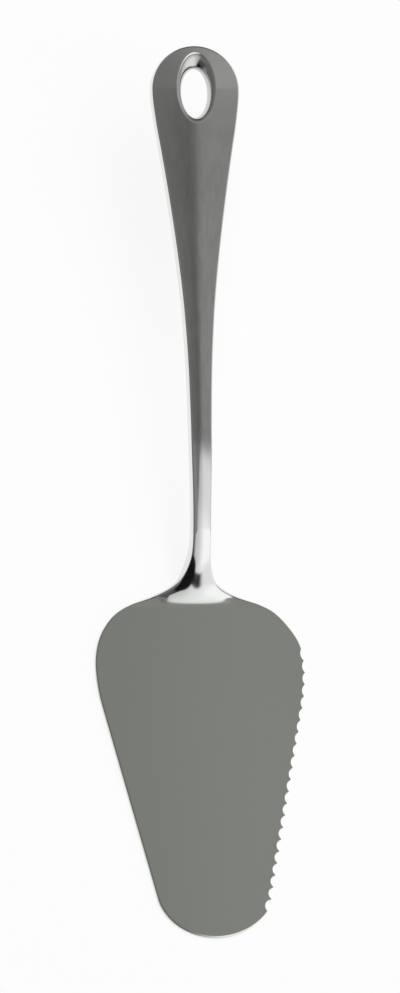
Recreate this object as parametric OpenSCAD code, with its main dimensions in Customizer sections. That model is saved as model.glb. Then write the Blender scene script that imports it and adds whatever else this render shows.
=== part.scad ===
/* [Blade] */
// Length of the flat blade from its heel to its tip
blade_l = 102.7; // [85:0.1:130]
// Width of the blade across its shoulders
blade_w = 63.6; // [54:0.2:76]
// Thickness of the blade's sheet
blade_t = 1.6; // [1.2:0.1:2]
// Distance from the heel to the widest line of the blade
shoulder_l = 18.6; // [15:0.1:25]
// Width of the blade at its heel, where the stem's foot is welded on
heel_w = 43.2; // [36:0.2:50]
// Radius that leads from the widest line into the straight taper
side_r = 57; // [45:1:70]
// Angle of each straight side to the middle line
taper_angle = 12.6; // [10:0.2:14]
// Length of the rounded tip
tip_l = 15; // [11:0.2:18]

/* [Serrated edge] */
// Distance from the heel to the first tooth
serrated_from = 12.9; // [9:0.1:17]
// Length of the serrated edge along the blade
serrated_l = 82; // [50:0.5:82]
// Distance from one tooth to the next along the blade
tooth_pitch = 3.71; // [3:0.01:5]
// Depth of the round gullet nearest the tip; they deepen evenly towards it
tooth_depth = 1.24; // [0.6:0.02:1.3]
// Depth of the gullet nearest the heel
tooth_heel_depth = 0.62; // [0.5:0.02:1.2]
// Width of the flat that is left on each tooth
tooth_land = 0.2; // [0.15:0.05:0.4]
// How far the teeth stand proud of the plain outline
tooth_proud = 0.55; // [0.2:0.05:0.8]
// Length over which the outline swells out to the teeth
proud_run = 8; // [5:0.5:10]

/* [Stem] */
// Radius of the bend where the foot leaves the blade
bend_r = 6; // [5:0.5:10]
// Steepest angle of the stem above the blade
bend_angle = 41; // [36:1:50]
// Straight length between the bend and the arch
rise_l = 13.9; // [8:0.1:16]
// Radius of the arch that leads over from the rise to the neck
arch_r = 18; // [14:0.5:26]
// Angle above the blade at which the arch ends and the neck's gentle curve starts
arch_end_angle = 18; // [15:0.5:24]
// Radius of the neck's gentle curve, which ends at the handle's angle
neck_curve_r = 265; // [180:5:340]
// Straight length of the neck up to the handle
neck_l = 2.7; // [2:0.1:12]
// Width of the neck where it is slimmest
neck_w = 5.8; // [5:0.1:8]
// Height of the neck's ridge above its middle plane
neck_front_h = 2.8; // [2.4:0.1:3.6]
// Depth of the neck below its middle plane
neck_back_h = 2.4; // [2:0.1:3.2]
// Length over which the foot narrows to the neck
flare_l = 24; // [18:1:30]
// Distance from the heel to where the foot's ridge starts to rise
ridge_from = 1; // [0.5:0.5:4]
// Length over which the foot's ridge rises
ridge_l = 17; // [9:0.5:20]
// Distance from the heel to where the foot's edges start to thicken
thicken_from = 5; // [3:0.5:8]
// Length over which the foot's edges thicken
thicken_l = 13; // [10:0.5:18]
// Length over which the foot's edges round off
foot_round_l = 6; // [4:0.5:12]
// How much wider than high the foot's rounded upper edges are, beyond equal
foot_round_gain = 1.6; // [0:0.1:2]
// Slope of the foot's sides, down from its middle line
foot_fold = 0.22; // [0:0.02:0.22]
// Length over which the sides take on that slope
foot_fold_l = 9; // [9:0.5:14]
// Width of the foot's middle part, which bends up straight from the blade
foot_bend_w = 16; // [10:0.5:18]
// Width beyond which the foot's corners stay flat with the blade
foot_flat_w = 25; // [21:0.5:30]
// Length of those flat corners, which come up over the same length again
foot_flat_l = 3; // [2:0.5:4]
// Length of the tang inside the hollow handle
tang_l = 18; // [12:1:40]
// Clearance of the tang inside the handle's walls
tang_gap = 0.1; // [0.05:0.05:0.2]

/* [Handle] */
// Angle of the handle above the blade
handle_angle = 12; // [6:0.5:18]
// Length of the hollow handle
handle_l = 115; // [95:1:140]
// Width of the handle where the stem joins it
joint_w = 6.7; // [6:0.1:9]
// Width of the handle's round head
head_w = 26.9; // [23:0.1:32]
// Height of the front shell's ridge at the head
head_front_h = 3.3; // [2.8:0.1:4.5]
// Depth of the back shell at the head
head_back_h = 2.6; // [2.3:0.1:3.6]
// Height of the front's crown at the head, from its edges up to its ridge
crown_h = 1.3; // [0.6:0.1:1.5]
// Height of the back's crown at the head
back_crown_h = 0.7; // [0.3:0.1:0.9]
// Radius of the handle's long edges
edge_r = 0.7; // [0.3:0.1:0.9]
// Wall thickness of both shells
wall_t = 0.6; // [0.5:0.1:1]

/* [Hanging eye] */
// Distance from the handle's end to the middle of the eye
eye_from_end = 14.2; // [13:0.1:20]
// Width of the eye at its waist
eye_w = 8.2; // [6:0.2:9.4]
// Length of the eye at its waist
eye_l = 14.6; // [10:0.2:16]
// Width of the eye's rim on the front
eye_rim_w = 11; // [9.8:0.2:14]
// Length of the eye's rim on the front
eye_rim_l = 20.4; // [18:0.2:21.2]
// How far the front rim lies nearer the handle's end than the waist
eye_rim_shift = 1.5; // [0:0.1:1.6]
// Width of the eye's rim on the back
eye_back_w = 10.6; // [9.5:0.2:14]
// Length of the eye's rim on the back
eye_back_l = 18; // [16.5:0.2:20]
// Wall thickness of the eye's liner
eye_wall_t = 0.6; // [0.5:0.1:0.9]
// Depth of the waist behind the handle's middle plane
eye_waist_z = 0.5; // [0:0.1:1]

/* [Hidden] */

// Colours of the polished steel pieces
blade_colour = [0.50, 0.51, 0.49];
stem_colour = [0.72, 0.72, 0.71];
front_colour = [0.46, 0.47, 0.46];
back_colour = [0.40, 0.41, 0.41];
eye_colour = [0.62, 0.62, 0.61];

// Way from the heel to the widest line, and the share of the widening reached there
shoulder_shares = [
    [0, 0], [0.09, 0.262], [0.188, 0.4625], [0.355, 0.69],
    [0.52, 0.839], [0.683, 0.93], [0.849, 0.9825], [1, 1]
];
// Way along the foot, and the share of its extra width that is left there
flare_shares = [
    [0, 1], [0.058, 0.862], [0.11, 0.697], [0.1625, 0.538], [0.242, 0.335], [0.3375, 0.185],
    [0.4375, 0.115], [0.554, 0.064], [0.696, 0.022], [0.829, 0.005], [1, 0]
];
// Way from the joint to the head, and the share of the widening reached there
handle_shares = [
    [0, 0], [0.15, 0.036], [0.26, 0.087], [0.38, 0.175], [0.5, 0.304],
    [0.62, 0.461], [0.735, 0.631], [0.825, 0.775], [0.91, 0.914], [1, 1]
];
// Softness of the ridge along the front and the back, as a share of the half width
ridge_share = 0.2;
// The same softness across the stem's foot
foot_ridge_share = 1;
// Places of the section's points, as shares of its half width
roof_shares = [0.75, 0.5, 0.25, 0];
// Corner radius of the blade's own edge at the foot, as a share of its thickness
foot_edge_share = 0.1;
// Inner corner radius, as a share of the wall
inner_edge_share = 0.4;

// Numbers of steps along the curves
shoulder_steps = 20;
side_steps = 6;
tip_steps = 20;
bend_steps = 10;
arch_steps = 12;
curve_steps = 6;
handle_steps = 26;
cap_steps = 10;
cavity_cap_steps = 7;
cap_end_angle = 84;
corner_steps = 3;
eye_steps = 48;
flare_steps = 4;
// Overrun of the cuts
over = 1;

function smooth(t) = t <= 0 ? 0 : t >= 1 ? 1 : t * t * (3 - 2 * t);

// Slope of a table of shares at one of its rows; the last row is level
function slope(table, i) =
    i == len(table) - 1 ? 0
    : i == 0 ? (table[1][1] - table[0][1]) / (table[1][0] - table[0][0])
    : (table[i + 1][1] - table[i - 1][1]) / (table[i + 1][0] - table[i - 1][0]);

// Value of a smooth curve through a table of shares
function along(table, t, i = 0) =
    i < len(table) - 2 && t > table[i + 1][0] ? along(table, t, i + 1)
    : let (
        run = table[i + 1][0] - table[i][0],
        u = (t - table[i][0]) / run
    )
    table[i][1] * (2 * pow(u, 3) - 3 * u * u + 1)
    + table[i + 1][1] * (3 * u * u - 2 * pow(u, 3))
    + slope(table, i) * run * (pow(u, 3) - 2 * u * u + u)
    + slope(table, i + 1) * run * (pow(u, 3) - u * u);

// Blade outline. It runs from the heel to the tip as [distance from heel, half width].
taper = tan(taper_angle);
straight_from = shoulder_l + side_r * sin(taper_angle);
straight_w = blade_w / 2 - side_r * (1 - cos(taper_angle));
tip_centre = blade_l - tip_l;
tip_line_w = straight_w - taper * (tip_centre - straight_from);
tip_half_w = sqrt(pow(tip_line_w, 2) - pow(taper * tip_l, 2));
tip_from_angle = asin(taper * tip_l / tip_line_w);

function half_w(d) =
    d < shoulder_l
        ? heel_w / 2 + (blade_w - heel_w) / 2 * along(shoulder_shares, d / shoulder_l)
    : d < straight_from
        ? blade_w / 2 - side_r + sqrt(side_r * side_r - pow(d - shoulder_l, 2))
    : d < tip_centre + tip_l * sin(tip_from_angle)
        ? straight_w - taper * (d - straight_from)
    : tip_half_w * sqrt(max(0, 1 - pow((d - tip_centre) / tip_l, 2)));

tooth_count = floor(serrated_l / tooth_pitch);
serrated_to = serrated_from + tooth_count * tooth_pitch;

// Outline on the serrated side, which swells out a little to carry the teeth
function serrated_w(d) =
    half_w(d) + tooth_proud * min(
        smooth((d - serrated_from + proud_run) / proud_run),
        smooth((serrated_to + proud_run / 2 - d) / proud_run * 2)
    );

outline_places = concat(
    [for (i = [0:shoulder_steps - 1]) shoulder_l * i / shoulder_steps],
    [for (i = [0:side_steps]) shoulder_l + (straight_from - shoulder_l) * i / side_steps],
    [for (i = [0:tip_steps])
        let (a = tip_from_angle + (90 - tip_from_angle) * i / tip_steps)
        tip_centre + tip_l * sin(a)]
);
tooth_places = [for (i = [0:tooth_count]) serrated_from + i * tooth_pitch];

function blade_point(d, w) = [w, shoulder_l - d];

plain_side = [for (d = outline_places) blade_point(d, -half_w(d))];
serrated_side = [for (d = concat(
    [for (d = outline_places) if (d < serrated_from) d],
    tooth_places,
    [for (d = outline_places) if (d > serrated_to && d < blade_l) d]
)) blade_point(d, serrated_w(d))];
reversed_plain = [for (i = [len(plain_side) - 1:-1:0]) plain_side[i]];

function gullet_depth(i) =
    tooth_heel_depth + (tooth_depth - tooth_heel_depth) * i / (tooth_count - 1);

// Circle that cuts one gullet: it meets the edge at both teeth, less half a land each
module gullet(i) {
    depth = gullet_depth(i);
    first = blade_point(tooth_places[i], serrated_w(tooth_places[i]));
    second = blade_point(tooth_places[i + 1], serrated_w(tooth_places[i + 1]));
    chord = norm(second - first) - tooth_land;
    r = (chord * chord / 4 + depth * depth) / (2 * depth);
    way = (first - second) / norm(second - first);
    outward = [way[1], -way[0]];
    middle = (first + second) / 2;
    translate(middle + outward * (r - depth)) circle(r = r, $fn = 48);
}

module blade() {
    color(blade_colour)
    linear_extrude(height = blade_t)
    difference() {
        polygon(concat(serrated_side, reversed_plain));
        for (i = [0:tooth_count - 1]) gullet(i);
    }
}

// Roof-shaped crown: zero on the middle line, one at the edge, with a soft ridge
function roof(u, soft = ridge_share) =
    (sqrt(u * u + soft * soft) - soft) / (sqrt(1 + soft * soft) - soft);

crown_share = crown_h / (head_w / 2);
back_crown_share = back_crown_h / (head_w / 2);

function roof_z(x, full, past, h, c, inset, soft = ridge_share) =
    h - c * full * roof(norm([x / full, past]), soft) - inset;

// Upper half of a section from its right side over the ridge to its left side.
// a is the half width, full the half width that the crown is measured by, past how far
// the section lies past the head's centre in that measure, h the ridge, c the crown's
// share of full, r the corner's height, rw its width, inset the depth under the outer
// surface and soft the ridge's softness.
function upper_half(a, full, past, h, c, r, rw, inset, soft = ridge_share) =
    let (
        flat_a = a - rw,
        top = roof_z(flat_a, full, past, h, c, inset, soft),
        low = roof_z(a, full, past, h, c, inset, soft) - r,
        right = concat(
            [[a, 0]],
            [for (i = [0:corner_steps])
                let (turn = 90 * i / corner_steps)
                [flat_a + rw * cos(turn), low + (top - low) * sin(turn)]],
            [for (share = roof_shares)
                [flat_a * share, roof_z(flat_a * share, full, past, h, c, inset, soft)]]
        )
    )
    concat(right, [for (i = [len(right) - 2:-1:0]) [-right[i][0], right[i][1]]]);

// Whole section as one closed loop of [x, z], through the two side points once each
function whole_section(a, h, back_h, c, back_c, r, rw, soft = ridge_share) =
    let (
        upper = upper_half(a, a, 0, h, c, r, rw, 0, soft),
        lower = upper_half(a, a, 0, back_h, back_c, r, r, 0, soft)
    )
    concat(upper, [for (i = [len(lower) - 2:-1:1]) [lower[i][0], -lower[i][1]]]);

// Middle line of the stem in the plane x = 0, as [y, z, angle, length so far]
bend_end = [shoulder_l + bend_r * sin(bend_angle), blade_t / 2 + bend_r * (1 - cos(bend_angle))];
bend_l = bend_r * bend_angle * PI / 180;
rise_end = bend_end + rise_l * [cos(bend_angle), sin(bend_angle)];
arch_l = arch_r * (bend_angle - arch_end_angle) * PI / 180;
arch_end = rise_end + arch_r * [
    sin(bend_angle) - sin(arch_end_angle),
    cos(arch_end_angle) - cos(bend_angle)
];
curve_l = neck_curve_r * (arch_end_angle - handle_angle) * PI / 180;
curve_end = arch_end + neck_curve_r * [
    sin(arch_end_angle) - sin(handle_angle),
    cos(handle_angle) - cos(arch_end_angle)
];
stem_l = bend_l + rise_l + arch_l + curve_l + neck_l;
joint = curve_end + neck_l * [cos(handle_angle), sin(handle_angle)];

bend_line = [for (i = [0:bend_steps])
    let (a = bend_angle * i / bend_steps)
    [shoulder_l + bend_r * sin(a), blade_t / 2 + bend_r * (1 - cos(a)), a,
        bend_l * i / bend_steps]];
arch_line = [for (i = [0:arch_steps])
    let (a = bend_angle + (arch_end_angle - bend_angle) * i / arch_steps)
    [rise_end[0] + arch_r * (sin(bend_angle) - sin(a)),
        rise_end[1] + arch_r * (cos(a) - cos(bend_angle)), a,
        bend_l + rise_l + arch_l * i / arch_steps]];
curve_line = [for (i = [1:curve_steps])
    let (a = arch_end_angle + (handle_angle - arch_end_angle) * i / curve_steps)
    [arch_end[0] + neck_curve_r * (sin(arch_end_angle) - sin(a)),
        arch_end[1] + neck_curve_r * (cos(a) - cos(arch_end_angle)), a,
        bend_l + rise_l + arch_l + curve_l * i / curve_steps]];

neck_end = [[joint[0], joint[1], handle_angle, stem_l]];

function stem_flare(d) = (heel_w - neck_w) / 2 * along(flare_shares, min(1, d / flare_l));

function stem_half_w(d) =
    neck_w / 2 + stem_flare(d)
    + (joint_w - neck_w) / 2 * smooth((d - stem_l + curve_l) / curve_l);

// The ridge rises first and the edges thicken after it
function stem_h(d, neck_h) =
    blade_t / 2 + (neck_h - blade_t / 2) * smooth((d - ridge_from) / ridge_l);

function stem_edges(d) = smooth((d - thicken_from) / thicken_l);

function stem_corner(d) =
    foot_edge_share * blade_t + (edge_r - foot_edge_share * blade_t) * smooth(d / foot_round_l);

// The foot is rounded across, and the ridge sharpens from there to the joint
function stem_soft(d) =
    foot_ridge_share
    + (ridge_share - foot_ridge_share) * smooth((d - flare_l) / (stem_l - flare_l));

function stem_crown(d, neck_h, share) =
    let (
        a = stem_half_w(d),
        edge_h = blade_t / 2 + (neck_h - share * a - blade_t / 2) * stem_edges(d)
    )
    (stem_h(d, neck_h) - edge_h) / a;

function stem_section(d) =
    whole_section(
        stem_half_w(d),
        stem_h(d, neck_front_h),
        stem_h(d, neck_back_h),
        stem_crown(d, neck_front_h, crown_share),
        stem_crown(d, neck_back_h, back_crown_share),
        stem_corner(d),
        stem_corner(d) * (1 + foot_round_gain * stem_flare(d) / stem_half_w(d)),
        stem_soft(d)
    );

// How far the foot's sides stay below its middle line, which has come up by rise at the
// way d. The corners stay flat at first, and the rest slopes down from the middle line.
function foot_drop(x, rise, d) =
    let (
        flat = smooth((2 * abs(x) - foot_bend_w) / (foot_flat_w - foot_bend_w))
            * (1 - smooth((d - foot_flat_l) / foot_flat_l)),
        across = roof(x / stem_half_w(d), stem_soft(d)),
        fold = foot_fold * stem_flare(d) * across * smooth(d / foot_fold_l)
    )
    rise * flat + min(rise, fold) * (1 - flat);

function placed(section, y, z, angle) =
    [for (p = section) [p[0], y - p[1] * sin(angle), z + p[1] * cos(angle)]];

function stem_ring(row) =
    [for (p = placed(stem_section(row[3]), row[0], row[1], row[2]))
        [p[0], p[1], p[2] - foot_drop(p[0], row[1] - blade_t / 2, row[3])]];

// The tang's section fits inside the shells' walls at the joint
tang_inset = wall_t + tang_gap;
tang_section = whole_section(
    joint_w / 2 - tang_inset, neck_front_h - tang_inset, neck_back_h - tang_inset,
    crown_share, back_crown_share, inner_edge_share * wall_t, inner_edge_share * wall_t
);
tang_end = joint + tang_l * [cos(handle_angle), sin(handle_angle)];

// Solid through a row of rings that have equally many points, closed at both ends
module skin(rings) {
    n = len(rings[0]);
    points = [for (ring = rings) each ring];
    last = (len(rings) - 1) * n;
    sides = [for (i = [0:len(rings) - 2], j = [0:n - 1])
        let (
            here = i * n + j,
            beside = i * n + (j + 1) % n
        )
        each [[here, beside, beside + n], [here, beside + n, here + n]]];
    first_cap = [for (j = [1:n - 2]) [0, j + 1, j]];
    last_cap = [for (j = [1:n - 2]) [last, last + j, last + j + 1]];
    polyhedron(points = points, faces = concat(sides, first_cap, last_cap));
}

module stem() {
    color(stem_colour)
    skin(concat(
        [for (row = concat(bend_line, arch_line, curve_line, neck_end)) stem_ring(row)],
        [placed(tang_section, joint[0], joint[1], handle_angle)],
        [placed(tang_section, tang_end[0], tang_end[1], handle_angle)]
    ));
}

// Handle outline in its own frame: y runs from the joint to the end of the head
head_r = head_w / 2;
head_centre = handle_l - head_r;

function handle_half_w(d) =
    joint_w / 2 + (head_w - joint_w) / 2 * along(handle_shares, d / head_centre);

// One row for each ring: [place, half width, crown measure, distance past the centre]
function handle_rows(inset) = concat(
    [for (i = [0:handle_steps])
        let (
            d = head_centre * i / handle_steps,
            a = handle_half_w(d)
        )
        [d, a - inset, a, 0]],
    [for (i = [1:cap_steps])
        let (
            turn = cap_end_angle * i / cap_steps,
            d = head_r * sin(turn)
        )
        [head_centre + d, sqrt(max(0, pow(head_r - inset, 2) - d * d)), head_r, d / head_r]]
);

function shell_h(d, joint_h, head_h) = joint_h + (head_h - joint_h) * smooth(d / head_centre);

function shell_ring(row, joint_h, head_h, c, r, inset) =
    let (h = shell_h(row[0], joint_h, head_h))
    [for (p = upper_half(row[1], row[2], row[3], h, c, r, r, inset)) [p[0], row[0], p[1]]];

// Half shell of the handle: open at the joint and along its flat rim, solid at the very end
module half_shell(joint_h, head_h, c) {
    outer = [for (row = handle_rows(0)) shell_ring(row, joint_h, head_h, c, edge_r, 0)];
    cavity = handle_steps + cavity_cap_steps;
    inner_rows = handle_rows(wall_t);
    inner = [for (i = [0:cavity])
        shell_ring(inner_rows[i], joint_h, head_h, c, inner_edge_share * wall_t, wall_t)];
    m = len(outer[0]);
    rings = len(outer);
    start = rings * m;
    points = concat([for (ring = outer) each ring], [for (ring = inner) each ring]);
    outer_sides = [for (i = [0:rings - 2], j = [0:m - 2])
        let (p = i * m + j)
        each [[p, p + 1, p + m + 1], [p, p + m + 1, p + m]]];
    inner_sides = [for (i = [0:cavity - 1], j = [0:m - 2])
        let (p = start + i * m + j)
        each [[p, p + m, p + m + 1], [p, p + m + 1, p + 1]]];
    rim = [for (i = [0:cavity - 1])
        let (
            right = i * m,
            left = i * m + m - 1
        )
        each [
            [right, right + m, start + right + m], [right, start + right + m, start + right],
            [left, start + left, start + left + m], [left, start + left + m, left + m]
        ]];
    mouth = [for (j = [0:m - 2])
        each [[j, start + j, start + j + 1], [j, start + j + 1, j + 1]]];
    last_inner = start + cavity * m;
    cavity_end = [for (j = [1:m - 2]) [last_inner, last_inner + j + 1, last_inner + j]];
    right = cavity * m;
    left = right + m - 1;
    step_face = [
        [right + m, left + m, left],
        [right + m, left, last_inner + m - 1],
        [right + m, last_inner + m - 1, last_inner],
        [right + m, last_inner, right]
    ];
    end_floor = [for (i = [cavity + 1:rings - 2])
        let (p = i * m)
        each [[p, p + m, p + 2 * m - 1], [p, p + 2 * m - 1, p + m - 1]]];
    tail = (rings - 1) * m;
    end_cap = [for (j = [1:m - 2]) [tail, tail + j, tail + j + 1]];
    polyhedron(
        points = points,
        faces = concat(outer_sides, inner_sides, rim, mouth, cavity_end, step_face, end_floor,
            end_cap)
    );
}

// Moves a piece from the handle's own frame to its place on the stem
module on_handle() {
    translate([0, joint[0], joint[1]]) rotate([handle_angle, 0, 0]) children();
}

eye_place = handle_l - eye_from_end;

function ellipse(w, l, shift) =
    [for (i = [0:eye_steps - 1])
        let (turn = 360 * i / eye_steps)
        [w / 2 * cos(turn), eye_place + shift + l / 2 * sin(turn)]];

module eye_cut(w, l, shift, h) {
    linear_extrude(height = h + over) polygon(ellipse(w, l, shift));
}

module handle_front() {
    color(front_colour)
    on_handle()
    difference() {
        half_shell(neck_front_h, head_front_h, crown_share);
        eye_cut(eye_rim_w, eye_rim_l, eye_rim_shift, head_front_h);
    }
}

module handle_back() {
    color(back_colour)
    on_handle()
    mirror([0, 0, 1])
    difference() {
        half_shell(neck_back_h, head_back_h, back_crown_share);
        eye_cut(eye_back_w, eye_back_l, 0, head_back_h);
    }
}

// Height of a shell's outer face over the middle plane at any place on the head
function face_z(p, joint_h, head_h, c) =
    let (past = max(0, p[1] - head_centre) / head_r)
    roof_z(p[0], past > 0 ? head_r : handle_half_w(p[1]), past,
        shell_h(p[1], joint_h, head_h), c, 0);

front_rim = [for (p = ellipse(eye_rim_w, eye_rim_l, eye_rim_shift))
    [p[0], p[1], face_z(p, neck_front_h, head_front_h, crown_share)]];
back_rim = [for (p = ellipse(eye_back_w, eye_back_l, 0))
    [p[0], p[1], -face_z(p, neck_back_h, head_back_h, back_crown_share)]];
waist = [for (p = ellipse(eye_w, eye_l, 0)) [p[0], p[1], -eye_waist_z]];
outer_waist = [for (p = ellipse(eye_w + 2 * eye_wall_t, eye_l + 2 * eye_wall_t, 0))
    [p[0], p[1], -eye_waist_z]];

// Loop part of the way from a rim down to the waist, on a quarter round
function flare_loop(rim, share) =
    [for (i = [0:eye_steps - 1])
        let (
            inward = 1 - cos(90 * share),
            down = sin(90 * share)
        )
        [
            rim[i][0] + (waist[i][0] - rim[i][0]) * down,
            rim[i][1] + (waist[i][1] - rim[i][1]) * down,
            rim[i][2] + (waist[i][2] - rim[i][2]) * inward
        ]];

function lowered(loop, d) = [for (p = loop) [p[0], p[1], p[2] - d]];

// Liner of the hanging eye: flared on both faces, slimmest at its waist
module hanging_eye() {
    loops = concat(
        [for (i = [0:flare_steps]) flare_loop(front_rim, i / flare_steps)],
        [for (i = [flare_steps - 1:-1:0]) flare_loop(back_rim, i / flare_steps)],
        [lowered(back_rim, -wall_t)],
        [outer_waist],
        [lowered(front_rim, wall_t)]
    );
    count = len(loops);
    points = [for (loop = loops) each loop];
    faces = [for (k = [0:count - 1], i = [0:eye_steps - 1])
        let (
            here = k * eye_steps + i,
            beside = k * eye_steps + (i + 1) % eye_steps,
            under = (k + 1) % count * eye_steps
        )
        each [
            [here, beside, under + (i + 1) % eye_steps],
            [here, under + (i + 1) % eye_steps, under + i]
        ]];
    color(eye_colour)
    on_handle()
    polyhedron(points = points, faces = faces);
}

blade();
stem();
handle_front();
handle_back();
hanging_eye();
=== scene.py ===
import math
import bmesh
import bpy
from mathutils import Matrix, Vector


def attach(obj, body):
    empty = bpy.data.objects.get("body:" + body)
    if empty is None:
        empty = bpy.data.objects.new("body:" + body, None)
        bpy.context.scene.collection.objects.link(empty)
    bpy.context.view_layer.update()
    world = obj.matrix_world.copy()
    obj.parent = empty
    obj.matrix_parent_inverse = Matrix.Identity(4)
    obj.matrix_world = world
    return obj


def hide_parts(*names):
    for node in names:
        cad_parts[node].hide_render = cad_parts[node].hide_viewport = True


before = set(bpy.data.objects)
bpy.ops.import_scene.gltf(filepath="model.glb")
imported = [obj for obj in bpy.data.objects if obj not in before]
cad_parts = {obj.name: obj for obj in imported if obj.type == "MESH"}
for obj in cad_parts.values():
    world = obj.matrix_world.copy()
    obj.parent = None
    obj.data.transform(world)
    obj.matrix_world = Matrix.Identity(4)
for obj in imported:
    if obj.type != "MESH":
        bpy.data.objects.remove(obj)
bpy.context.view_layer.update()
scene = bpy.context.scene
print("frame loaded:", len(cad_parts), "nodes")

crispAngle = 35  # degrees: an edge that turns more than this isn't smoothed
mergeWithin = 1e-6


def smooth(t):
    t = min(1, max(0, t))
    return t * t * (3 - 2 * t)


def denseEnds(t):
    # Even steps of t come out closer together at both ends
    return t - 0.5 * math.sin(2 * math.pi * t) / (2 * math.pi)


def slopeAt(table, i):
    if i == len(table) - 1:
        return 0
    low = table[max(0, i - 1)]
    high = table[i + 1]
    return (high[1] - low[1]) / (high[0] - low[0])


def along(table, t):
    # Height at t on a smooth curve through the table's points
    i = 0
    while i < len(table) - 2 and t > table[i + 1][0]:
        i += 1
    (x0, y0), (x1, y1) = table[i], table[i + 1]
    run = x1 - x0
    u = (t - x0) / run
    rise = 3 * u * u - 2 * u ** 3
    return (
        y0 * (1 - rise) + y1 * rise
        + slopeAt(table, i) * run * (u ** 3 - 2 * u * u + u)
        + slopeAt(table, i + 1) * run * (u ** 3 - u * u)
    )


def newPiece(name, points, faces, crisp=crispAngle):
    mesh = bpy.data.meshes.new(name)
    mesh.from_pydata([tuple(p) for p in points], [], faces)
    tidy = bmesh.new()
    tidy.from_mesh(mesh)
    bmesh.ops.remove_doubles(tidy, verts=tidy.verts, dist=mergeWithin)
    bmesh.ops.recalc_face_normals(tidy, faces=tidy.faces)
    for face in tidy.faces:
        face.smooth = True
    for edge in tidy.edges:
        if len(edge.link_faces) == 2 and edge.calc_face_angle() > math.radians(crisp):
            edge.smooth = False
    tidy.to_mesh(mesh)
    tidy.free()
    piece = bpy.data.objects.new(name, mesh)
    scene.collection.objects.link(piece)
    return piece


def skinFaces(rings, count):
    faces = []
    for i in range(rings - 1):
        for j in range(count):
            k = (j + 1) % count
            faces.append((i * count + j, i * count + k, (i + 1) * count + k, (i + 1) * count + j))
    return faces


# Node tools
class Socket:
    # One output of a node, with arithmetic that adds Math nodes
    def __init__(self, tree, output):
        self.tree = tree
        self.output = output

    def worked(self, operation, *values):
        node = addNode(self.tree, "ShaderNodeMath", dict(enumerate(values)), operation=operation)
        return Socket(self.tree, node.outputs[0])

    def maths(self, operation, *others):
        return self.worked(operation, self, *others)

    def swapped(self, operation, other):
        return self.worked(operation, other, self)

    def __add__(self, other):
        return self.maths("ADD", other)

    def __radd__(self, other):
        return self.swapped("ADD", other)

    def __sub__(self, other):
        return self.maths("SUBTRACT", other)

    def __rsub__(self, other):
        return self.swapped("SUBTRACT", other)

    def __mul__(self, other):
        return self.maths("MULTIPLY", other)

    def __rmul__(self, other):
        return self.swapped("MULTIPLY", other)

    def __truediv__(self, other):
        return self.maths("DIVIDE", other)

    def __rtruediv__(self, other):
        return self.swapped("DIVIDE", other)

    def ramp(self, low, high, fromValue=0, toValue=1):
        values = dict(enumerate((self, low, high, fromValue, toValue)))
        node = addNode(self.tree, "ShaderNodeMapRange", values, interpolation_type="SMOOTHSTEP")
        return Socket(self.tree, node.outputs[0])


def plug(tree, value, target):
    if isinstance(value, Socket):
        value = value.output
    if isinstance(value, bpy.types.NodeSocket):
        tree.links.new(value, target)
    else:
        target.default_value = value


def addNode(tree, kind, values=None, **settings):
    # Settings come first, because some of them change which sockets there are
    node = tree.nodes.new(kind)
    for name, value in settings.items():
        setattr(node, name, value)
    for name, value in (values or {}).items():
        plug(tree, value, node.inputs[name])
    return node


def emptyTree(owner):
    owner.use_nodes = True
    owner.node_tree.nodes.clear()
    return owner.node_tree


# Blade: sizes in metres, as in the part's own source
blade = {
    "length": 0.1027,
    "width": 0.0636,
    "thickness": 0.0016,
    "shoulderAt": 0.0186,
    "heelWidth": 0.0432,
    "sideRadius": 0.057,
    "taperAngle": 12.6,
    "tipLength": 0.015,
    "plainRound": 0.00065,
    "toothedRound": 0.0001,
    "heelFade": 0.004,
    "tipFade": 0.006,
}
teeth = {
    "firstAt": 0.0129,
    "run": 0.082,
    "pitch": 0.00371,
    "tipDepth": 0.00124,
    "heelDepth": 0.00062,
    "land": 0.0002,
    "proud": 0.00055,
    "proudRun": 0.008,
    "cutterSides": 96,
}
shoulderShares = [
    (0, 0), (0.09, 0.262), (0.188, 0.4625), (0.355, 0.69),
    (0.52, 0.839), (0.683, 0.93), (0.849, 0.9825), (1, 1),
]
taper = math.tan(math.radians(blade["taperAngle"]))
straightAt = blade["shoulderAt"] + blade["sideRadius"] * math.sin(math.radians(blade["taperAngle"]))
straightHalf = blade["width"] / 2 - blade["sideRadius"] * (1 - math.cos(math.radians(blade["taperAngle"])))
tipCentre = blade["length"] - blade["tipLength"]
tipLine = straightHalf - taper * (tipCentre - straightAt)
tipHalf = math.sqrt(tipLine ** 2 - (taper * blade["tipLength"]) ** 2)
tipFrom = math.asin(taper * blade["tipLength"] / tipLine)


def bladeHalf(d):
    if d < blade["shoulderAt"]:
        growth = along(shoulderShares, d / blade["shoulderAt"])
        return blade["heelWidth"] / 2 + (blade["width"] - blade["heelWidth"]) / 2 * growth
    if d < straightAt:
        r = blade["sideRadius"]
        return blade["width"] / 2 - r + math.sqrt(r * r - (d - blade["shoulderAt"]) ** 2)
    if d < tipCentre + blade["tipLength"] * math.sin(tipFrom):
        return straightHalf - taper * (d - straightAt)
    return tipHalf * math.sqrt(max(0, 1 - ((d - tipCentre) / blade["tipLength"]) ** 2))


toothCount = int(teeth["run"] / teeth["pitch"])
toothPlaces = [teeth["firstAt"] + i * teeth["pitch"] for i in range(toothCount + 1)]


def serratedHalf(d):
    grown = smooth((d - teeth["firstAt"] + teeth["proudRun"]) / teeth["proudRun"])
    faded = smooth((toothPlaces[-1] + teeth["proudRun"] / 2 - d) / teeth["proudRun"] * 2)
    return bladeHalf(d) + teeth["proud"] * min(grown, faded)


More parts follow.
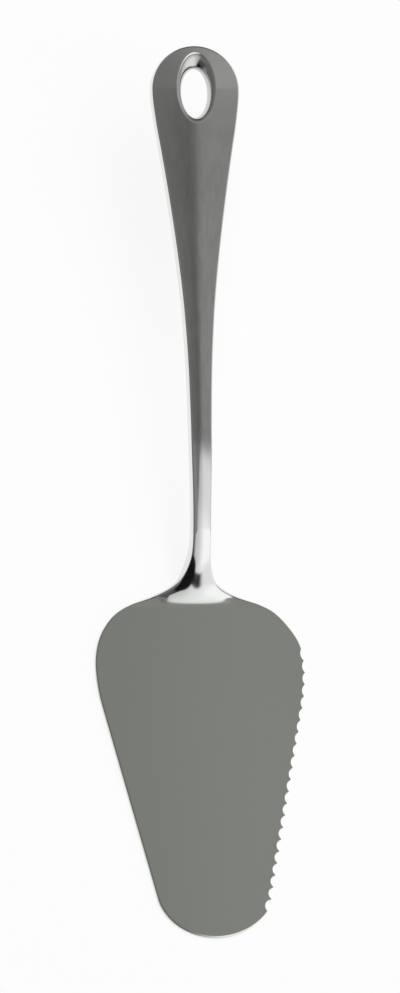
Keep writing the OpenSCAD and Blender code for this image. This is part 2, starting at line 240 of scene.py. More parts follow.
def outlinePlaces(steps):
    sideSteps = 12
    places = [blade["shoulderAt"] * i / steps for i in range(steps)]
    for i in range(sideSteps + 1):
        places.append(blade["shoulderAt"] + (straightAt - blade["shoulderAt"]) * i / sideSteps)
    span = math.pi / 2 - tipFrom
    for i in range(steps + 1):
        places.append(tipCentre + blade["tipLength"] * math.sin(tipFrom + span * i / steps))
    return places


def bladeLoop(steps=110):
    # One point for each place: its outline, its way outwards and the round of its edge
    places = outlinePlaces(steps)
    right = [Vector((serratedHalf(d), blade["shoulderAt"] - d)) for d in places]
    left = [Vector((-bladeHalf(d), blade["shoulderAt"] - d)) for d in reversed(places[:-1])]
    loop = right + left
    count = len(loop)
    leastShare = 0.02
    found = []
    for i, p in enumerate(loop):
        way = loop[(i + 1) % count] - loop[i - 1]
        outward = Vector((-way.y, way.x)).normalized()
        d = blade["shoulderAt"] - p.y
        toothed = 0
        if p.x > 0:
            untilTip = smooth((blade["length"] - d) / blade["tipFade"])
            toothed = min(smooth(d / teeth["firstAt"]), untilTip)
        edge = blade["plainRound"] + (blade["toothedRound"] - blade["plainRound"]) * toothed
        edge *= max(leastShare, smooth(d / blade["heelFade"]))
        found.append((p, outward, edge))
    return found


def makePlate():
    loop = bladeLoop()
    middle = blade["thickness"] / 2
    edgeSteps = 7
    points = []
    for side in (-1, 1):
        turns = [math.pi / 2 * i / edgeSteps for i in range(edgeSteps + 1)]
        if side < 0:
            turns.reverse()
        for turn in turns:
            for p, outward, edge in loop:
                q = p - outward * edge * (1 - math.cos(turn))
                points.append((q.x, q.y, middle + side * (middle - edge + edge * math.sin(turn))))
    count = len(loop)
    rings = 2 * edgeSteps + 2
    faces = skinFaces(rings, count)
    faces.append(tuple(reversed(range(count))))
    faces.append(tuple(range((rings - 1) * count, rings * count)))
    return newPiece("plate", points, faces)


def addSocket(tree, name, kind, way="INPUT"):
    return tree.interface.new_socket(name=name, in_out=way, socket_type="NodeSocket" + kind)


def gulletTree():
    # Cuts one round gullet into the plate for each length of the toothed line
    tree = bpy.data.node_groups.new("cutGullets", "GeometryNodeTree")
    sockets = {name: addSocket(tree, name, kind).identifier for name, kind in (
        ("Line", "Geometry"), ("Plate", "Object"), ("Heel Depth", "Float"), ("Tip Depth", "Float"),
        ("Land", "Float"), ("Count", "Float"), ("Height", "Float"), ("Material", "Material"),
    )}
    addSocket(tree, "Geometry", "Geometry", "OUTPUT")
    given = addNode(tree, "NodeGroupInput").outputs
    land, heelDepth, tipDepth, cuts, height = (
        Socket(tree, given[name]) for name in ("Land", "Heel Depth", "Tip Depth", "Count", "Height")
    )
    ends = addNode(tree, "GeometryNodeInputMeshEdgeVertices").outputs
    way = addNode(tree, "ShaderNodeVectorMath", {
        0: ends["Position 1"], 1: ends["Position 2"],
    }, operation="SUBTRACT")
    kept = addNode(tree, "GeometryNodeStoreNamedAttribute", {
        "Geometry": given["Line"], "Name": "way", "Value": way.outputs[0],
    }, data_type="FLOAT_VECTOR", domain="EDGE")
    spots = addNode(tree, "GeometryNodeMeshToPoints", {"Mesh": kept.outputs[0]}, mode="EDGES")
    read = addNode(tree, "GeometryNodeInputNamedAttribute", {"Name": "way"}, data_type="FLOAT_VECTOR")
    size = addNode(tree, "ShaderNodeVectorMath", {0: read.outputs[0]}, operation="LENGTH")
    order = Socket(tree, addNode(tree, "GeometryNodeInputIndex").outputs[0])
    chord = Socket(tree, size.outputs["Value"]) - land
    depth = heelDepth + (tipDepth - heelDepth) * (order / (cuts - 1))
    radius = (chord * chord * 0.25 + depth * depth) / (depth * 2)
    unit = addNode(tree, "ShaderNodeVectorMath", {0: read.outputs[0]}, operation="NORMALIZE")
    outward = addNode(tree, "ShaderNodeVectorMath", {
        0: unit.outputs[0], 1: (0, 0, 1),
    }, operation="CROSS_PRODUCT")
    shift = addNode(tree, "ShaderNodeVectorMath", {
        0: outward.outputs[0], "Scale": radius - depth,
    }, operation="SCALE")
    moved = addNode(tree, "GeometryNodeSetPosition", {
        "Geometry": spots.outputs[0], "Offset": shift.outputs[0],
    })
    cutter = addNode(tree, "GeometryNodeMeshCylinder", {
        "Vertices": teeth["cutterSides"], "Radius": 1, "Depth": 1,
    })
    grown = addNode(tree, "ShaderNodeCombineXYZ", {0: radius, 1: radius, 2: height})
    placed = addNode(tree, "GeometryNodeInstanceOnPoints", {
        "Points": moved.outputs[0], "Instance": cutter.outputs["Mesh"], "Scale": grown.outputs[0],
    })
    plate = addNode(tree, "GeometryNodeObjectInfo", {"Object": given["Plate"]})
    cut = addNode(tree, "GeometryNodeMeshBoolean", {
        "Mesh 1": plate.outputs["Geometry"], "Mesh 2": placed.outputs[0],
    }, operation="DIFFERENCE", solver="EXACT")
    real = addNode(tree, "GeometryNodeRealizeInstances", {0: cut.outputs["Mesh"]})
    surfaced = addNode(tree, "GeometryNodeSetMaterial", {
        "Geometry": real.outputs[0], "Material": given["Material"],
    })
    addNode(tree, "NodeGroupOutput", {0: surfaced.outputs[0]})
    return tree, sockets


def makeBlade(material):
    plate = makePlate()
    line = bpy.data.meshes.new("toothedLine")
    tips = [(serratedHalf(d), blade["shoulderAt"] - d, blade["thickness"] / 2) for d in toothPlaces]
    line.from_pydata(tips, [(i, i + 1) for i in range(toothCount)], [])
    piece = bpy.data.objects.new("bladeSheet", line)
    scene.collection.objects.link(piece)
    tree, sockets = gulletTree()
    modifier = piece.modifiers.new("gullets", "NODES")
    modifier.node_group = tree
    values = {
        "Plate": plate,
        "Heel Depth": teeth["heelDepth"],
        "Tip Depth": teeth["tipDepth"],
        "Land": teeth["land"],
        "Count": float(toothCount),
        "Height": blade["thickness"] * 3,
        "Material": material,
    }
    for name, value in values.items():
        modifier[sockets[name]] = value
    made = piece.evaluated_get(bpy.context.evaluated_depsgraph_get())
    cutMesh = bpy.data.meshes.new_from_object(made)
    piece.modifiers.clear()
    piece.data = cutMesh
    bpy.data.objects.remove(plate)
    work = bmesh.new()
    work.from_mesh(cutMesh)
    mostCorners = 8
    for face in work.faces:
        face.smooth = len(face.verts) <= mostCorners  # the two broad faces stay flat
    for edge in work.edges:
        if len(edge.link_faces) == 2:
            edge.smooth = edge.calc_face_angle() < math.radians(crispAngle)
    work.to_mesh(cutMesh)
    work.free()
    print("gullets cut:", toothCount)
    return piece


# Handle: its slope, heights and walls
handle = {
    "angle": 12,
    "length": 0.115,
    "jointWidth": 0.0067,
    "headWidth": 0.0269,
    "frontHeadHeight": 0.0033,
    "backHeadHeight": 0.0026,
    "frontCrown": 0.0013 / 0.01345,
    "backCrown": 0.0007 / 0.01345,
    "edgeRadius": 0.0007,
    "ridgeShare": 0.2,
    "wall": 0.0006,
    "eyeClearance": 0.0035,
    "crispAngle": 50,
}


# Crowned section that the stem and the handle share
def roof(u, soft=handle["ridgeShare"]):
    return (math.sqrt(u * u + soft * soft) - soft) / (math.sqrt(1 + soft * soft) - soft)


def upperHalf(half, height, crown, corner, cornerWidth, soft, cornerSteps=8, roofSteps=24):
    flat = half - cornerWidth
    crown = crown * half
    top = height - crown * roof(flat / half, soft)
    low = height - crown - corner
    right = [(half, 0)]
    for i in range(cornerSteps + 1):
        turn = math.pi / 2 * i / cornerSteps
        right.append((flat + cornerWidth * math.cos(turn), low + (top - low) * math.sin(turn)))
    for i in range(roofSteps - 1, -1, -1):
        x = flat * denseEnds(i / roofSteps)
        right.append((x, height - crown * roof(x / half, soft)))
    return right + [(-x, z) for x, z in reversed(right[:-1])]


def wholeSection(half, height, backHeight, crown, backCrown, corner, cornerWidth, soft):
    upper = upperHalf(half, height, crown, corner, cornerWidth, soft)
    lower = upperHalf(half, backHeight, backCrown, corner, corner, soft)
    return upper + [(x, -z) for x, z in reversed(lower[1:-1])]


# Stem: bends, section and the foot that spreads over the heel
stem = {
    "bendRadius": 0.006,
    "bendAngle": 41,
    "riseLength": 0.0139,
    "archRadius": 0.018,
    "archEndAngle": 18,
    "curveRadius": 0.265,
    "neckLength": 0.0027,
    "neckWidth": 0.0058,
    "frontHeight": 0.0028,
    "backHeight": 0.0024,
    "flareLength": 0.024,
    "ridgeAt": 0.001,
    "ridgeLength": 0.017,
    "thickenAt": 0.005,
    "thickenLength": 0.013,
    "roundGain": 1.6,
    "ridgeShare": 1,
    "roundLength": 0.006,
    "sheetCornerShare": 0.1,
    "fold": 0.22,
    "foldLength": 0.009,
    "bendWidth": 0.016,
    "flatWidth": 0.025,
    "flatLength": 0.003,
}
flareShares = [
    (0, 1), (0.058, 0.862), (0.11, 0.697), (0.1625, 0.538), (0.242, 0.335), (0.3375, 0.185),
    (0.4375, 0.115), (0.554, 0.064), (0.696, 0.022), (0.829, 0.005), (1, 0),
]


def stemLine():
    # Middle line as (y, z, angle, way from the heel), and the length of its gentle curve
    at = Vector((blade["shoulderAt"], blade["thickness"] / 2))
    line = [(at.x, at.y, 0, 0)]
    way = 0

    def bendTo(fromAngle, toAngle, radius, steps):
        nonlocal at, way
        side = 1 if toAngle > fromAngle else -1
        for i in range(1, steps + 1):
            a = fromAngle + (toAngle - fromAngle) * i / steps
            y = at.x + side * radius * (math.sin(a) - math.sin(fromAngle))
            z = at.y + side * radius * (math.cos(fromAngle) - math.cos(a))
            line.append((y, z, a, way + radius * abs(a - fromAngle)))
        at = Vector(line[-1][:2])
        way = line[-1][3]

    def straightOn(angle, length, steps):
        nonlocal at, way
        for i in range(1, steps + 1):
            d = length * i / steps
            line.append((at.x + d * math.cos(angle), at.y + d * math.sin(angle), angle, way + d))
        at = Vector(line[-1][:2])
        way = line[-1][3]

    steep = math.radians(stem["bendAngle"])
    eased = math.radians(stem["archEndAngle"])
    last = math.radians(handle["angle"])
    bendTo(0, steep, stem["bendRadius"], steps=44)
    straightOn(steep, stem["riseLength"], steps=20)
    bendTo(steep, eased, stem["archRadius"], steps=40)
    bendTo(eased, last, stem["curveRadius"], steps=40)
    straightOn(last, stem["neckLength"], steps=6)
    return line, stem["curveRadius"] * (eased - last)


neckLine, curveRun = stemLine()
stemRun = neckLine[-1][3]
joint = Vector((0, neckLine[-1][0], neckLine[-1][1]))


def stemFlare(d):
    left = along(flareShares, min(1, d / stem["flareLength"]))
    return (blade["heelWidth"] - stem["neckWidth"]) / 2 * left


def stemHalf(d):
    widen = smooth((d - stemRun + curveRun) / curveRun)
    neck = stem["neckWidth"] + (handle["jointWidth"] - stem["neckWidth"]) * widen
    return neck / 2 + stemFlare(d)


def makeStem():
    points = []
    thin = blade["thickness"] / 2
    sheetCorner = stem["sheetCornerShare"] * blade["thickness"]
    count = 0
    for y, z, angle, d in neckLine:
        half = stemHalf(d)
        ridge = smooth((d - stem["ridgeAt"]) / stem["ridgeLength"])
        edges = smooth((d - stem["thickenAt"]) / stem["thickenLength"])
        heights = []
        crowns = []
        for full, share in ((stem["frontHeight"], handle["frontCrown"]),
                            (stem["backHeight"], handle["backCrown"])):
            height = thin + (full - thin) * ridge
            heights.append(height)
            crowns.append((height - thin - (full - share * half - thin) * edges) / half)
        rounded = smooth(d / stem["roundLength"])
        corner = sheetCorner + (handle["edgeRadius"] - sheetCorner) * rounded
        wide = corner * (1 + stem["roundGain"] * stemFlare(d) / half)
        sharper = smooth((d - stem["flareLength"]) / (stemRun - stem["flareLength"]))
        soft = stem["ridgeShare"] + (handle["ridgeShare"] - stem["ridgeShare"]) * sharper
        section = wholeSection(half, *heights, *crowns, corner, wide, soft)
        count = len(section)
        climb = z - thin
        fade = 1 - smooth((d - stem["flatLength"]) / stem["flatLength"])
        fold = stem["fold"] * stemFlare(d) * smooth(d / stem["foldLength"])
        for x, up in section:
            corners = smooth((2 * abs(x) - stem["bendWidth"]) / (stem["flatWidth"] - stem["bendWidth"]))
            flat = fade * corners
            drop = climb * flat + min(climb, fold * roof(x / half, soft)) * (1 - flat)
            points.append((x, y - up * math.sin(angle), z + up * math.cos(angle) - drop))
    faces = skinFaces(len(neckLine), count)
    faces.append(tuple(reversed(range(count))))
    last = (len(neckLine) - 1) * count
    faces.append(tuple(range(last, last + count)))
    return newPiece("neckStem", points, faces)


# Eye, and the handle's outline in its own frame: y runs from the joint to the end of the head
eye = {
    "fromEnd": 0.0142,
    "width": 0.0082,
    "length": 0.0146,
    "frontWidth": 0.011,
    "frontLength": 0.0204,
    "frontShift": 0.0015,
    "backWidth": 0.0106,
    "backLength": 0.018,
    "wall": 0.0006,
    "waistDepth": 0.0005,
    "rimFall": 0.00018,
    "rimRun": 0.0007,
}
handleShares = [
    (0, 0), (0.15, 0.036), (0.26, 0.087), (0.38, 0.175), (0.5, 0.304),
    (0.62, 0.461), (0.735, 0.631), (0.825, 0.775), (0.91, 0.914), (1, 1),
]
headRadius = handle["headWidth"] / 2
headCentre = handle["length"] - headRadius
eyeAt = handle["length"] - eye["fromEnd"]
onHandle = Matrix.Translation(joint) @ Matrix.Rotation(math.radians(handle["angle"]), 4, "X")


def handleHalf(d):
    if d > headCentre:
        return math.sqrt(max(0, headRadius ** 2 - (d - headCentre) ** 2))
    grown = along(handleShares, max(0, d) / headCentre)
    return handle["jointWidth"] / 2 + (handle["headWidth"] - handle["jointWidth"]) / 2 * grown


def shellHeight(d, jointHeight, headHeight):
    return jointHeight + (headHeight - jointHeight) * smooth(d / headCentre)


def faceHeight(x, d, jointHeight, headHeight, crown):
    past = max(0, d - headCentre) / headRadius
    full = headRadius if past > 0 else handleHalf(d)
    u = math.hypot(x / full, past)
    return shellHeight(d, jointHeight, headHeight) - crown * full * roof(u)


def ellipsePoint(a, width, length, shift=0):
    return Vector((width / 2 * math.cos(a), eyeAt + shift + length / 2 * math.sin(a)))


def makeShell(name, jointHeight, headHeight, crown, rimWidth, rimLength, rimShift, side):
    # Rows up the handle, then rings round the eye, and rounded long edges
    corner = handle["edgeRadius"]
    points = []
    faces = []

    def height(p):
        return faceHeight(p.x, p.y, jointHeight, headHeight, crown)

    def put(p, z):
        points.append(Vector((p.x, p.y, z * side)))
        return len(points) - 1

    def strip(low, high, closed=False):
        count = len(low)
        for j in range(count if closed else count - 1):
            k = (j + 1) % count
            faces.append((low[j], low[k], high[k], high[j]))

    # Rows of the plain stretch, across the flat part between the two rounded edges
    splitAt = eyeAt + rimShift - rimLength / 2 - handle["eyeClearance"]
    half = 40
    rowCount = 130
    rows = []
    for i in range(rowCount + 1):
        d = splitAt * i / rowCount
        flat = handleHalf(d) - corner
        row = []
        for j in range(-half, half + 1):
            p = Vector((flat * math.copysign(denseEnds(abs(j) / half), j), d))
            row.append(put(p, height(p)))
        rows.append(row)
    for low, high in zip(rows, rows[1:]):
        strip(low, high)

    # Rings from the eye's rim out to the flat's edge
    flatHead = []
    sideSteps = 60
    for i in range(1, sideSteps + 1):
        d = splitAt + (headCentre - splitAt) * i / sideSteps
        flatHead.append(Vector((handleHalf(d) - corner, d)))
    arc = 120
    for i in range(1, arc):
        a = math.pi * i / arc
        r = headRadius - corner
        flatHead.append(Vector((r * math.cos(a), headCentre + r * math.sin(a))))
    for i in range(sideSteps, 0, -1):
        d = splitAt + (headCentre - splitAt) * i / sideSteps
        flatHead.append(Vector((-handleHalf(d) + corner, d)))
    base = [Vector(points[k].xy) for k in rows[-1]]
    loop = base + flatHead  # along the last row, up the right side and round to the left
    count = len(loop)
    centre = Vector((0, eyeAt + rimShift))
    rimLoop = []
    for p in loop:
        a = math.atan2((p.y - centre.y) / rimLength, (p.x - centre.x) / rimWidth)
        rimLoop.append(ellipsePoint(a, rimWidth, rimLength, rimShift))
    ringCount = 40
    crowding = 1.6  # the rings lie closer near the rim
    rings = []
    for i in range(ringCount + 1):
        share = (i / ringCount) ** crowding
        ring = []
        for j in range(count):
            p = rimLoop[j].lerp(loop[j], share)
            away = (p - rimLoop[j]).length
            fall = eye["rimFall"] * max(0, 1 - away / eye["rimRun"]) ** 2
            ring.append(put(p, height(p) - fall))
        rings.append(ring)
    for low, high in zip(rings, rings[1:]):
        strip(low, high, closed=True)

    # Rounded long edge and side wall, the whole way round
    edgeFlat = [Vector((handleHalf(splitAt * i / rowCount) - corner, splitAt * i / rowCount))
                for i in range(rowCount + 1)]
    edgeFlat += flatHead
    edgeFlat += [Vector((-p.x, p.y)) for p in reversed(edgeFlat[:rowCount + 1])]
    edgeOut = []
    for i, p in enumerate(edgeFlat):
        if p.y > headCentre:
            away = (p - Vector((0, headCentre))).normalized()
            edgeOut.append(Vector((0, headCentre)) + away * headRadius)
        else:
            edgeOut.append(Vector((math.copysign(handleHalf(p.y), p.x), p.y)))
    bands = []
    cornerSteps = 8
    for i in range(cornerSteps + 1):
        turn = math.pi / 2 * i / cornerSteps
        band = []
        for inner, outward in zip(edgeFlat, edgeOut):
            low = height(outward) - corner
            top = height(inner)
            p = inner.lerp(outward, math.cos(turn))
            band.append(put(p, low + (top - low) * math.sin(turn)))
        bands.append(band)
    bands.insert(0, [put(p, 0) for p in edgeOut])
    for low, high in zip(bands, bands[1:]):
        strip(low, high)

    # Wall of the hole, down to the rim's underside
    under = [put(rimLoop[j], height(rimLoop[j]) - eye["rimFall"] - handle["wall"]) for j in range(count)]
    strip(under, rings[0], closed=True)
    return newPiece(name, [onHandle @ p for p in points], faces, handle["crispAngle"])


def makeLiner():
    steps = 160
    front = []
    back = []
    waist = []
    for i in range(steps):
        a = 2 * math.pi * i / steps
        p = ellipsePoint(a, eye["frontWidth"], eye["frontLength"], eye["frontShift"])
        z = faceHeight(p.x, p.y, stem["frontHeight"], handle["frontHeadHeight"], handle["frontCrown"])
        front.append(Vector((p.x, p.y, z - eye["rimFall"])))
        p = ellipsePoint(a, eye["backWidth"], eye["backLength"])
        z = faceHeight(p.x, p.y, stem["backHeight"], handle["backHeadHeight"], handle["backCrown"])
        back.append(Vector((p.x, p.y, eye["rimFall"] - z)))
        p = ellipsePoint(a, eye["width"], eye["length"])
        waist.append(Vector((p.x, p.y, -eye["waistDepth"])))

    def flare(rim, share):
        down = math.sin(math.pi / 2 * share)
        inward = 1 - math.cos(math.pi / 2 * share)
        found = []
        for r, w in zip(rim, waist):
            found.append(Vector((
                r.x + (w.x - r.x) * down,
                r.y + (w.y - r.y) * down,
                r.z + (w.z - r.z) * inward,
            )))
        return found

    rows = 24
    loops = [flare(front, i / rows) for i in range(rows + 1)]
    loops += [flare(back, i / rows) for i in range(rows - 1, -1, -1)]
    wall = Vector((0, 0, eye["wall"]))
    loops.append([p + wall for p in back])
    outerWaist = []
    for i in range(steps):
        a = 2 * math.pi * i / steps
        grown = 2 * eye["wall"]
        p = ellipsePoint(a, eye["width"] + grown, eye["length"] + grown)
        outerWaist.append(Vector((p.x, p.y, -eye["waistDepth"])))
    loops.append(outerWaist)
    loops.append([p - wall for p in front])
    points = [onHandle @ p for loop in loops for p in loop]
    faces = skinFaces(len(loops), steps)
    last = (len(loops) - 1) * steps
    for j in range(steps):
        k = (j + 1) % steps
        faces.append((last + j, last + k, k, j))
    return newPiece("eyeLiner", points, faces)


# Steel: one metal with a finish for each piece, two of them carrying painted light (noted below)
finishes = {
    "blade": {
        "colour": (0.748, 0.774, 0.706),
        "gains": (0.92, 1.03),
        # painted reflection: the blade's colour grows paler towards the serrated edge, standing in for the
        # light it reflects
        "across": (-0.032, 0.02),  # paler towards the serrated edge
        "roughness": 0.24,
        "wear": 0.04,
        "scratchStretch": (1, 0.04, 1),
        "scratchDepth": 2e-6,
    },
    "stem": {
        "colour": (0.79, 0.80, 0.79),
        "gains": (0.985, 1),
        "roughness": 0.08,
        "wear": 0.03,
        "scratchStretch": (1, 0.1, 1),
        "scratchDepth": 1e-6,
        "heelFade": (0.0185, 0.023),  # the blade's finish ends here
        "neckFade": (0.054, 0.068),  # the handle's roughness starts here
    },
    "handle": {
        "colour": (0.79, 0.805, 0.77),
        "gains": (0.985, 1),
        "roughness": 0.1,
        "wear": 0.03,
        "scratchStretch": (1, 0.06, 1),
        "scratchDepth": 1e-6,
    },
    "eye": {
        # painted shade: the eye's steel is darker than the other pieces, standing in for the shade inside
        # the hole
        "colour": (0.6, 0.61, 0.595),
        "gains": (0.985, 1),
        "roughness": 0.13,
        "wear": 0.03,
        "scratchStretch": (1, 1, 1),
        "scratchDepth": 1e-6,
    },
}
grain = {
    "scratches": {"scale": 900, "detail": 6},
    "clouds": {"scale": 60, "detail": 3},
    "polish": {"scale": 14, "detail": 2},
    "scratchGain": 0.05,
    "polishEdge": (0.3, 0.7),
    "polishShare": 0.12,
}


def noise(tree, coordinates, scale, detail, stretch=(1, 1, 1)):
    mapping = addNode(tree, "ShaderNodeMapping", {"Vector": coordinates, "Scale": stretch})
    texture = addNode(tree, "ShaderNodeTexNoise", {
        "Vector": mapping.outputs[0], "Scale": scale, "Detail": detail,
    })
    return Socket(tree, texture.outputs[0])


def steel(name):
    finish = finishes[name]
    roughness = finish["roughness"]
    material = bpy.data.materials.new(name + "Steel")
    tree = emptyTree(material)
    place = addNode(tree, "ShaderNodeTexCoord").outputs["Object"]
    parts = addNode(tree, "ShaderNodeSeparateXYZ", {0: place}).outputs
    aside, forth = Socket(tree, parts[0]), Socket(tree, parts[1])
    scratches = noise(tree, place, **grain["scratches"], stretch=finish["scratchStretch"])
    clouds = noise(tree, place, **grain["clouds"])
    polishWearAndPaintedSheen = noise(tree, place, **grain["polish"]).ramp(*grain["polishEdge"])
    # On the blade, a painted reflection (a left-to-right colour gradient) is blended with the random
    # polish tone
    if "across" in finish:
        share = grain["polishShare"]
        polishWearAndPaintedSheen = polishWearAndPaintedSheen * share + aside.ramp(*finish["across"], 0, 1 - share)
    dark, pale = ((*[part * gain for part in finish["colour"]], 1) for gain in finish["gains"])
    tint = addNode(tree, "ShaderNodeMix", {"Factor": polishWearAndPaintedSheen, "A": dark, "B": pale}, data_type="RGBA")
    rough = roughness + (scratches - 0.5) * grain["scratchGain"] + (clouds - 0.5) * finish["wear"]
    if "heelFade" in finish:
        heel = finishes["blade"]
        near = forth.ramp(*finish["heelFade"], 1, 0)
        rough = rough + near * (heel["roughness"] - roughness)
        rough = rough + forth.ramp(*finish["neckFade"], 0, finishes["handle"]["roughness"] - roughness)
        tint = addNode(tree, "ShaderNodeMix", {
            "Factor": near, "A": tint.outputs["Result"], "B": (*heel["colour"], 1),
        }, data_type="RGBA")
    bump = addNode(tree, "ShaderNodeBump", {
        "Strength": 1, "Distance": finish["scratchDepth"], "Height": scratches,
    })
    shader = addNode(tree, "ShaderNodeBsdfPrincipled", {
        "Metallic": 1, "Base Color": tint.outputs["Result"], "Roughness": rough, "Normal": bump.outputs[0],
    })
    addNode(tree, "ShaderNodeOutputMaterial", {"Surface": shader.outputs[0]})
    return material


steels = {name: steel(name) for name in finishes}
print("steels mixed:", len(steels))

# Pieces by CAD node, each with its finish; the slot names are listed but nothing uses them
pieces = {
    "blade": (makeBlade(steels["blade"]), "blade", "blade_steel"),
    "stem": (makeStem(), "stem", "stem_steel"),
    "handle_front": (makeShell(
        "handleFront", stem["frontHeight"], handle["frontHeadHeight"], handle["frontCrown"],
        eye["frontWidth"], eye["frontLength"], eye["frontShift"], 1,
    ), "handle", "handle_steel"),
    "handle_back": (makeShell(
        "handleBack", stem["backHeight"], handle["backHeadHeight"], handle["backCrown"],
        eye["backWidth"], eye["backLength"], 0, -1,
    ), "handle", "handle_steel"),
    "hanging_eye": (makeLiner(), "eye", "eye_steel"),
}
for node, (piece, finish, slotName) in pieces.items():
    piece.data.materials.clear()
    piece.data.materials.append(steels[finish])
    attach(piece, "root")
    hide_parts(node)
    print("piece:", piece.name, len(piece.data.polygons), "faces")

# Floor: white to the camera and to the steel, and it keeps the object's shadow
ground = {
    "reach": 6,
    "drop": 0.0001,
    "paleness": 0.9,
    "whiteShare": 0.85,
}


def floorPaint():
    material = bpy.data.materials.new("whiteFloor")
    tree = emptyTree(material)
    rays = addNode(tree, "ShaderNodeLightPath").outputs
    seen = Socket(tree, rays["Is Camera Ray"])
    for kind in ("Is Glossy Ray", "Is Transmission Ray"):
        seen = seen.maths("MAXIMUM", Socket(tree, rays[kind]))
    matt = addNode(tree, "ShaderNodeBsdfDiffuse", {"Color": (*[ground["paleness"]] * 3, 1)})
    glow = addNode(tree, "ShaderNodeEmission")
    mix = addNode(tree, "ShaderNodeMixShader", {
        0: seen * ground["whiteShare"], 1: matt.outputs[0], 2: glow.outputs[0],
    })
    addNode(tree, "ShaderNodeOutputMaterial", {"Surface": mix.outputs[0]})
    return material


corners = [(x * ground["reach"], y * ground["reach"], 0) for x, y in ((-1, -1), (1, -1), (1, 1), (-1, 1))]
floorMesh = bpy.data.meshes.new("floor")
floorMesh.from_pydata(corners, [], [(0, 1, 2, 3)])
floorMesh.materials.append(floorPaint())
floor = bpy.data.objects.new("floor", floorMesh)
scene.collection.objects.link(floor)
floor.location.z = -ground["drop"]
print("floor placed")

# Surroundings that the steel shows, by direction: -X is left and -Y is ahead, past the blade's tip.
# A pair of levels blends over its span, and an edge says where a region starts and where it is full
sky = {
    "aheadLevels": (0.14, 0.26),
    "overheadLevels": (0.04, 0.19),
    "topSpan": (-0.15, 0.5),
    "topEdge": (-0.136, -0.12),
    "leftGlow": 0.12,
    "leftGlowEdge": (-0.03, 0),
    "turn": 0.06,
    "headLevels": (0.19, 0.35),
    "headSpan": (0, 0.4),
    "headEdge": (-0.122, -0.08),
    "behindLevel": 0.272,
    "behindEdge": (0.15, 0.25),
    "backLevel": 0.05,
    "backEdge": (0.4, 0.75),
    "rightLevel": 0.55,
    "rightEdge": (0.6, 0.85),
    "shadowLevels": (0.008, 0.1),
    "shadowSpan": (-0.85, -0.7),
    "shadowHigh": 0.24,
    "shadowHighEdge": (-0.48, -0.34),
    "shadowEdge": (-0.3, -0.2),
    "leftLevel": 0.18,
    "leftEdges": ((-0.3, -0.12), (-0.5, -0.35)),
    "lowLeftLevel": 0.3,
    "lowLeftEdges": ((-0.72, -0.6), (-0.7, -0.6), (-0.45, -0.35)),
    "frontLevels": (0.68, 1.15),
    "frontSpan": (0, 0.36),
    "frontFade": (-0.34, -0.24, 1, 0.72),
    "frontEdge": (-0.185, -0.132),
    "frontLow": 0.9,
    "frontLowEdge": (0.03, 0.3),
    "frontShifts": ((0.08, 0.16, 0.34, 0.025), (0.16, 0.5, 0, -0.07), (0.88, 0.94, 0, 0.05)),
    "frontTurn": (-0.3, -0.2, 0, 0.05),
    "frontBlur": (0.08, 0.14, 0.3, 1),
    "frontSide": (-0.03, 0.03),
    "shadowSide": (-0.03, 0.02),
}


def blendTo(level, target, mask):
    return level + (target - level) * mask


def skyLevel(dirX, dirY, dirZ):
    ahead, overhead = (dirX.ramp(*sky["topSpan"], *sky[key]) for key in ("aheadLevels", "overheadLevels"))
    level = blendTo(ahead, overhead, dirY.ramp(*sky["topEdge"]))
    level = level + dirX.ramp(*sky["leftGlowEdge"], sky["leftGlow"], 0)
    forward = dirY - dirX * sky["turn"]
    head = dirX.ramp(*sky["headSpan"], *sky["headLevels"])
    level = blendTo(level, head, forward.ramp(*sky["headEdge"]))
    level = blendTo(level, sky["behindLevel"], dirY.ramp(*sky["behindEdge"]))
    level = blendTo(level, sky["backLevel"], dirY.ramp(*sky["backEdge"]))
    level = blendTo(level, sky["rightLevel"], dirX.ramp(*sky["rightEdge"]))

    # The bright front reaches further left higher up, and further right just over the horizon
    leaned = dirX
    for shift in sky["frontShifts"]:
        leaned = leaned - dirZ.ramp(*shift)
    leaned = leaned - dirY.ramp(*sky["frontTurn"])
    leaned = leaned * dirZ.ramp(*sky["frontBlur"])
    shadow = dirY.ramp(*sky["shadowSpan"], *sky["shadowLevels"])
    shadow = blendTo(shadow, sky["shadowHigh"], dirY.ramp(*sky["shadowHighEdge"]))
    inShadow = dirY.ramp(*sky["shadowEdge"], 1, 0) * leaned.ramp(*sky["shadowSide"], 1, 0)
    level = blendTo(level, shadow, inShadow)

    toLeft, aboveLeft = sky["leftEdges"]
    level = blendTo(level, sky["leftLevel"], dirX.ramp(*toLeft, 1, 0) * dirY.ramp(*aboveLeft))
    farLeft, nearer, further = sky["lowLeftEdges"]
    lowLeft = dirX.ramp(*farLeft, 1, 0) * dirY.ramp(*nearer) * dirY.ramp(*further, 1, 0)
    level = blendTo(level, sky["lowLeftLevel"], lowLeft)

    front = dirX.ramp(*sky["frontSpan"], *sky["frontLevels"]) * dirY.ramp(*sky["frontFade"])
    front = blendTo(front, sky["frontLow"], dirZ.ramp(*sky["frontLowEdge"], 1, 0))
    inFront = forward.ramp(*sky["frontEdge"], 1, 0) * leaned.ramp(*sky["frontSide"])
    return blendTo(level, front, inFront)


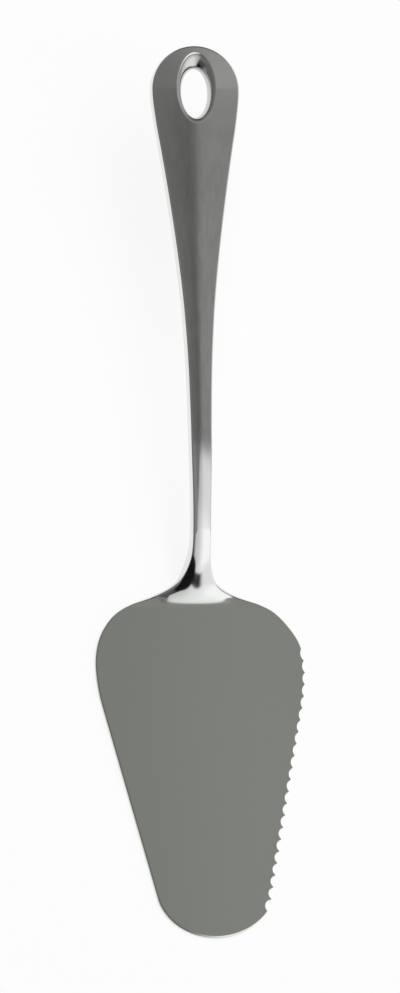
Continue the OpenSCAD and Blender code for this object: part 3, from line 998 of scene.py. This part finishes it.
world = bpy.data.worlds.new("studio")
scene.world = world
tree = emptyTree(world)
direction = addNode(tree, "ShaderNodeTexCoord").outputs["Generated"]
parts = addNode(tree, "ShaderNodeSeparateXYZ", {0: direction}).outputs
level = skyLevel(*(Socket(tree, part) for part in parts))
shade = addNode(tree, "ShaderNodeCombineColor", {0: level, 1: level, 2: level})
background = addNode(tree, "ShaderNodeBackground", {"Color": shade.outputs[0]})
addNode(tree, "ShaderNodeOutputWorld", {0: background.outputs[0]})

# Soft lamp overhead, not seen in the steel
overheadLamp = {
    "place": (0.1, 0.25, 1.6),
    "aim": (0, 0.02, 0),
    "size": 1.5,
    "power": 20,
}


def softLamp(name, place, aim, size, power):
    lamp = bpy.data.lights.new(name, "AREA")
    lamp.shape = "SQUARE"
    lamp.size = size
    lamp.energy = power
    holder = bpy.data.objects.new(name, lamp)
    holder.location = place
    holder.rotation_euler = (Vector(aim) - Vector(place)).to_track_quat("-Z", "Y").to_euler()
    holder.visible_glossy = False
    scene.collection.objects.link(holder)


softLamp("overheadLamp", **overheadLamp)
print("world and lamp placed")

# Camera at the photograph's angle
view = {
    "azimuth": -36.86,
    "elevation": 68.98,
    "roll": 35.14,
    "distance": 4.0,
    "fieldOfView": 4.27,
    "aim": (0.00161, 0.05089, 0.010),
    "farthest": 50,
}
cameraData = bpy.data.cameras.new("camera")
cameraData.sensor_fit = "VERTICAL"
cameraData.angle_y = math.radians(view["fieldOfView"])
cameraData.clip_end = view["farthest"]
camera = bpy.data.objects.new("camera", cameraData)
scene.collection.objects.link(camera)
turn = math.radians(view["azimuth"])
rise = math.radians(view["elevation"])
toCamera = Vector((math.sin(turn) * math.cos(rise), -math.cos(turn) * math.cos(rise), math.sin(rise)))
right = (-toCamera).cross(Vector((0, 0, 1))).normalized()
up = right.cross(-toCamera)
roll = math.radians(view["roll"])
rolledRight = right * math.cos(roll) + up * math.sin(roll)
rolledUp = up * math.cos(roll) - right * math.sin(roll)
facing = Matrix((rolledRight, rolledUp, toCamera)).transposed().to_4x4()
camera.matrix_world = Matrix.Translation(Vector(view["aim"]) + toCamera * view["distance"]) @ facing
scene.camera = camera
scene.view_settings.view_transform = "Standard"
print("camera placed")
